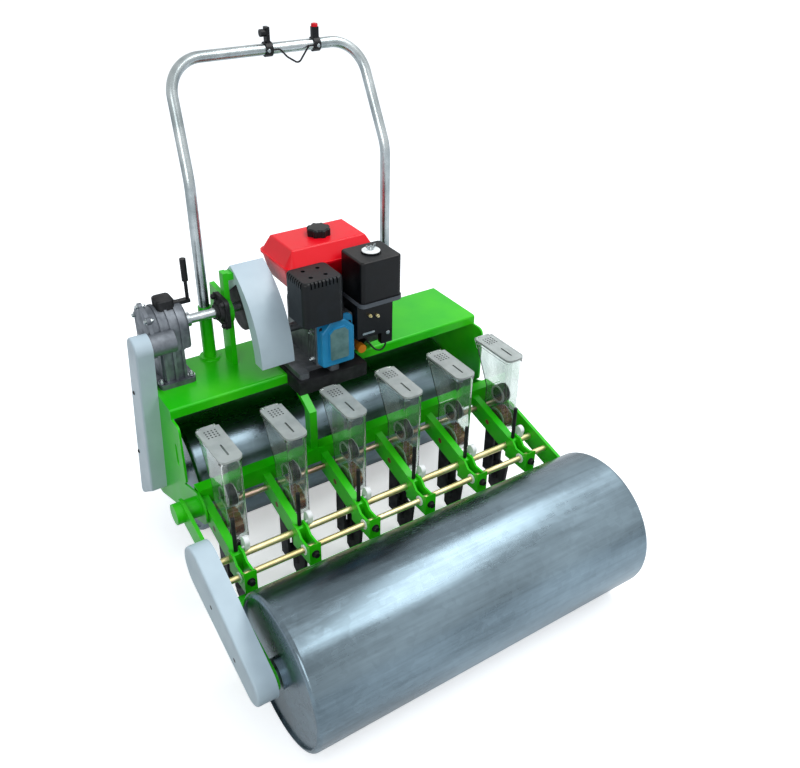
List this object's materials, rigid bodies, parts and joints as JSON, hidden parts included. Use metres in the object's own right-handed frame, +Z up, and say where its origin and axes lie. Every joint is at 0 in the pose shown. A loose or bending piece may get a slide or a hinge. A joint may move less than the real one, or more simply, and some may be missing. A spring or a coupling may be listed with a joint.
{
  "type": "seed planter",
  "caption": "Walk-behind seed planter with front and rear drum rollers, a decked frame carrying a small petrol engine and gearbox, clear lidded seed hoppers in a row and a looped handlebar.",
  "frame": {"origin": "on the ground under the middle of the bounding box", "axes": "+Z up, +Y from the front drum to the handlebar, +X the machine's right seen from its front"},
  "size_m": [0.938, 1.019, 1.1681],
  "materials": {
    "green_enamel": "glossy",
    "galvanised_steel": "bright",
    "handle_steel": "satin",
    "cast_aluminium": "cast",
    "steel_shaft": "turned",
    "zinc_yellow": "satin",
    "zinc_pink": "satin",
    "clear_plastic": "clear",
    "lid_plastic": "clear",
    "brown_plastic": "satin",
    "dark_brush": "matt",
    "dark_steel": "satin",
    "white_nylon": "satin",
    "white_sheet": "glossy",
    "red_enamel": "glossy",
    "black_plastic": "satin",
    "black_heatproof": "matt",
    "blue_cover": "glossy",
    "orange_plastic": "glossy",
    "cable_sheath": "satin"
  },
  "bodies": {
    "frame": {"air_cleaner": "black_plastic", "bearing_post": "green_enamel", "belt_guard": "white_sheet", "belt_pulleys": "dark_steel", "brush_wheels": "dark_brush", "carburettor": "cast_aluminium", "crankcase": "cast_aluminium", "cross_beam": "green_enamel", "cylinder": "cast_aluminium", "deck": "green_enamel", "drive_shaft": "steel_shaft", "engine_bracket": "green_enamel", "engine_post": "green_enamel", "front_arms": "green_enamel", "front_bolts": "dark_steel", "front_chain_cover": "white_sheet", "front_rod": "zinc_yellow", "fuel_cap": "black_plastic", "fuel_tank": "red_enamel", "furrow_openers": "dark_steel", "gear_lever": "black_plastic", "gearbox": "cast_aluminium", "gearbox_cap": "black_plastic", "handle_sockets": "green_enamel", "handlebar": "handle_steel", "hopper_1": "clear_plastic", "hopper_2": "clear_plastic", "hopper_3": "clear_plastic", "hopper_4": "clear_plastic", "hopper_5": "clear_plastic", "hopper_6": "clear_plastic", "muffler": "black_heatproof", "oil_cap": "orange_plastic", "pivot_bosses": "green_enamel", "rear_chain_cover": "white_sheet", "rear_rod": "zinc_pink", "recoil_starter": "black_plastic", "row_arms": "green_enamel", "row_brackets": "green_enamel", "row_levers": "white_nylon", "row_rods": "dark_steel", "side_plates": "green_enamel", "stop_switch": "black_plastic", "switch_cable": "cable_sheath", "throttle_lever": "black_plastic", "tie_bar": "green_enamel", "valve_cover": "blue_cover"},
    "front roller": {"front_drum": "galvanised_steel"},
    "rear roller": {"rear_drum": "galvanised_steel"},
    "metering drive": {"metering_shaft": "zinc_yellow"},
    "seed wheel set": {"seed_wheels": "brown_plastic"},
    "lid 1": {"lid_1": "lid_plastic"},
    "lid 2": {"lid_2": "lid_plastic"},
    "lid 3": {"lid_3": "lid_plastic"},
    "lid 4": {"lid_4": "lid_plastic"},
    "lid 5": {"lid_5": "lid_plastic"},
    "lid 6": {"lid_6": "lid_plastic"}
  },
  "joints": [
    {"name": "front_roller_turn", "type": "hinge", "parent": "frame", "child": "front roller", "pos_m": [0.013, -0.3465, 0.163], "axis": [1, 0, 0], "continuous": true},
    {"name": "rear_roller_turn", "type": "hinge", "parent": "frame", "child": "rear roller", "pos_m": [0.013, 0.3465, 0.163], "axis": [1, 0, 0], "continuous": true},
    {"name": "metering_shaft_turn", "type": "hinge", "parent": "frame", "child": "metering drive", "pos_m": [0.013, -0.0815, 0.23277], "axis": [1, 0, 0], "continuous": true},
    {"name": "seed_wheels_turn", "type": "hinge", "parent": "frame", "child": "seed wheel set", "pos_m": [0.013, -0.0005, 0.2541], "axis": [1, 0, 0], "continuous": true},
    {"name": "lid_1_hinge", "type": "hinge", "parent": "frame", "child": "lid 1", "pos_m": [-0.337, 0.0985, 0.444], "axis": [-1, 0, 0], "range_deg": [0, 110]},
    {"name": "lid_2_hinge", "type": "hinge", "parent": "frame", "child": "lid 2", "pos_m": [-0.187, 0.0985, 0.444], "axis": [-1, 0, 0], "range_deg": [0, 110]},
    {"name": "lid_3_hinge", "type": "hinge", "parent": "frame", "child": "lid 3", "pos_m": [-0.037, 0.0985, 0.444], "axis": [-1, 0, 0], "range_deg": [0, 80]},
    {"name": "lid_4_hinge", "type": "hinge", "parent": "frame", "child": "lid 4", "pos_m": [0.113, 0.0985, 0.444], "axis": [-1, 0, 0], "range_deg": [0, 90]},
    {"name": "lid_5_hinge", "type": "hinge", "parent": "frame", "child": "lid 5", "pos_m": [0.263, 0.0985, 0.444], "axis": [-1, 0, 0], "range_deg": [0, 110]},
    {"name": "lid_6_hinge", "type": "hinge", "parent": "frame", "child": "lid 6", "pos_m": [0.413, 0.0985, 0.444], "axis": [-1, 0, 0], "range_deg": [0, 110]}
  ],
  "couplings": [
    {"joint": "metering_shaft_turn", "follows": "front_roller_turn", "ratio": 1},
    {"joint": "seed_wheels_turn", "follows": "front_roller_turn", "ratio": 1}
  ]
}
